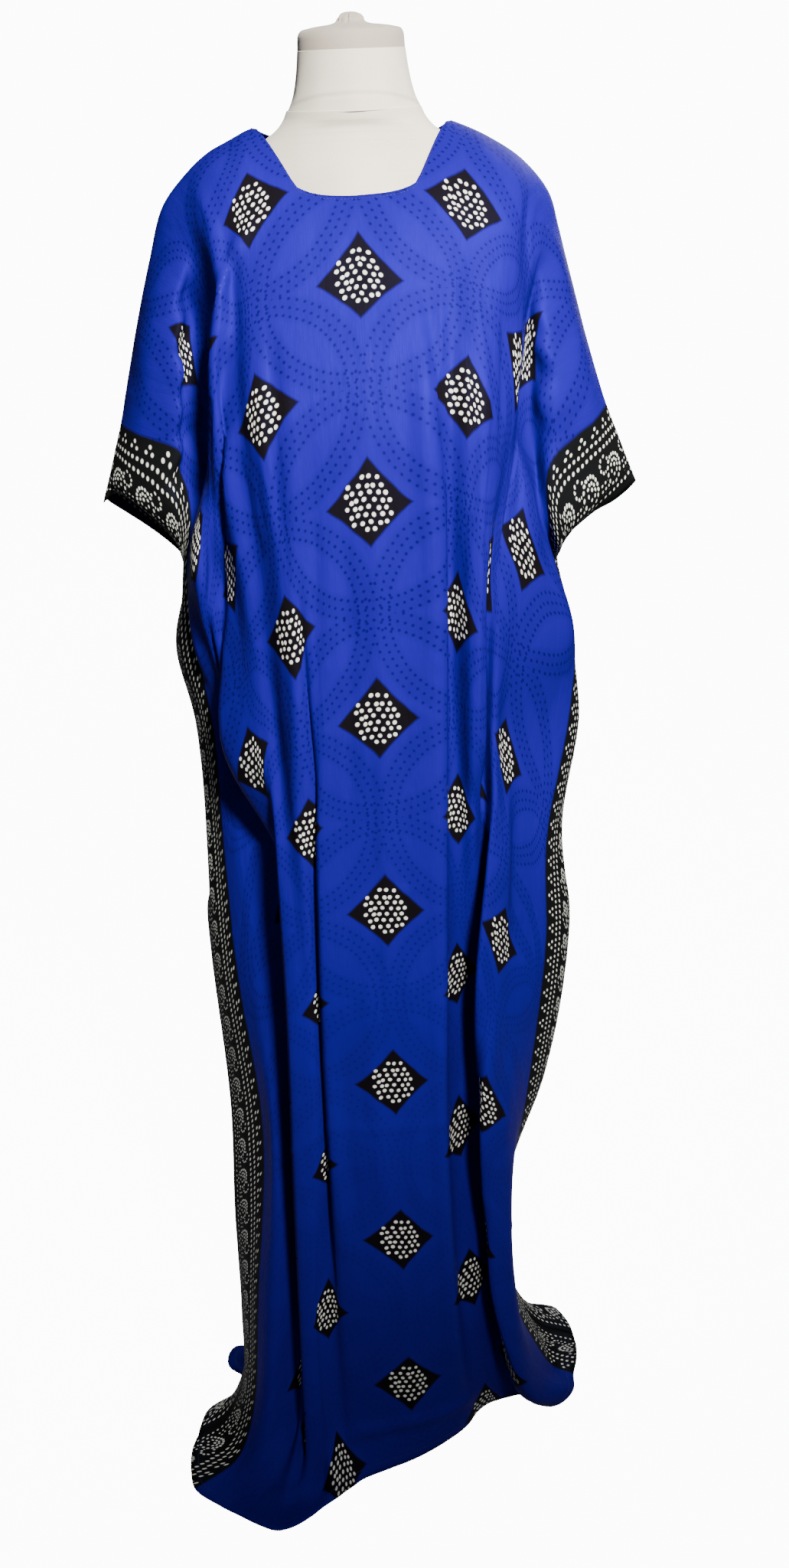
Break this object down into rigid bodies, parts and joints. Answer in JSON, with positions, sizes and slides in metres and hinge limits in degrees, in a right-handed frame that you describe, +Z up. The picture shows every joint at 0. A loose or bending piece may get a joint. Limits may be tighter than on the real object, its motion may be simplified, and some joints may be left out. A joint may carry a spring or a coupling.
{
  "type": "baati dress on a dress form",
  "caption": "Loose one-piece baati house dress with short kimono sleeves, squared neckline and trailing hem, hanging in folds on a limbless dress form with a round base.",
  "frame": {"origin": "on the underside of the stand's round base, in the plane of the dress's centre line, 15 mm in front of the pole's axis", "axes": "+Z up, +X to the right in front view, the dress faces -Y"},
  "size_m": [0.5527, 0.4419, 1.5396],
  "materials": {
    "dress_cloth": "light printed satin, royal blue with black diamonds and a black border, both filled with white dots",
    "form_cover": "matt off-white stretch cover",
    "neck_cap": "gathered off-white cloth",
    "stand_metal": "satin grey"
  },
  "bodies": {
    "root": {"dress_front": "dress_cloth", "dress_back": "dress_cloth", "form_torso": "form_cover", "form_neck": "form_cover", "form_neck_cap": "neck_cap", "form_pole": "stand_metal", "form_base": "stand_metal"}
  },
  "joints": []
}
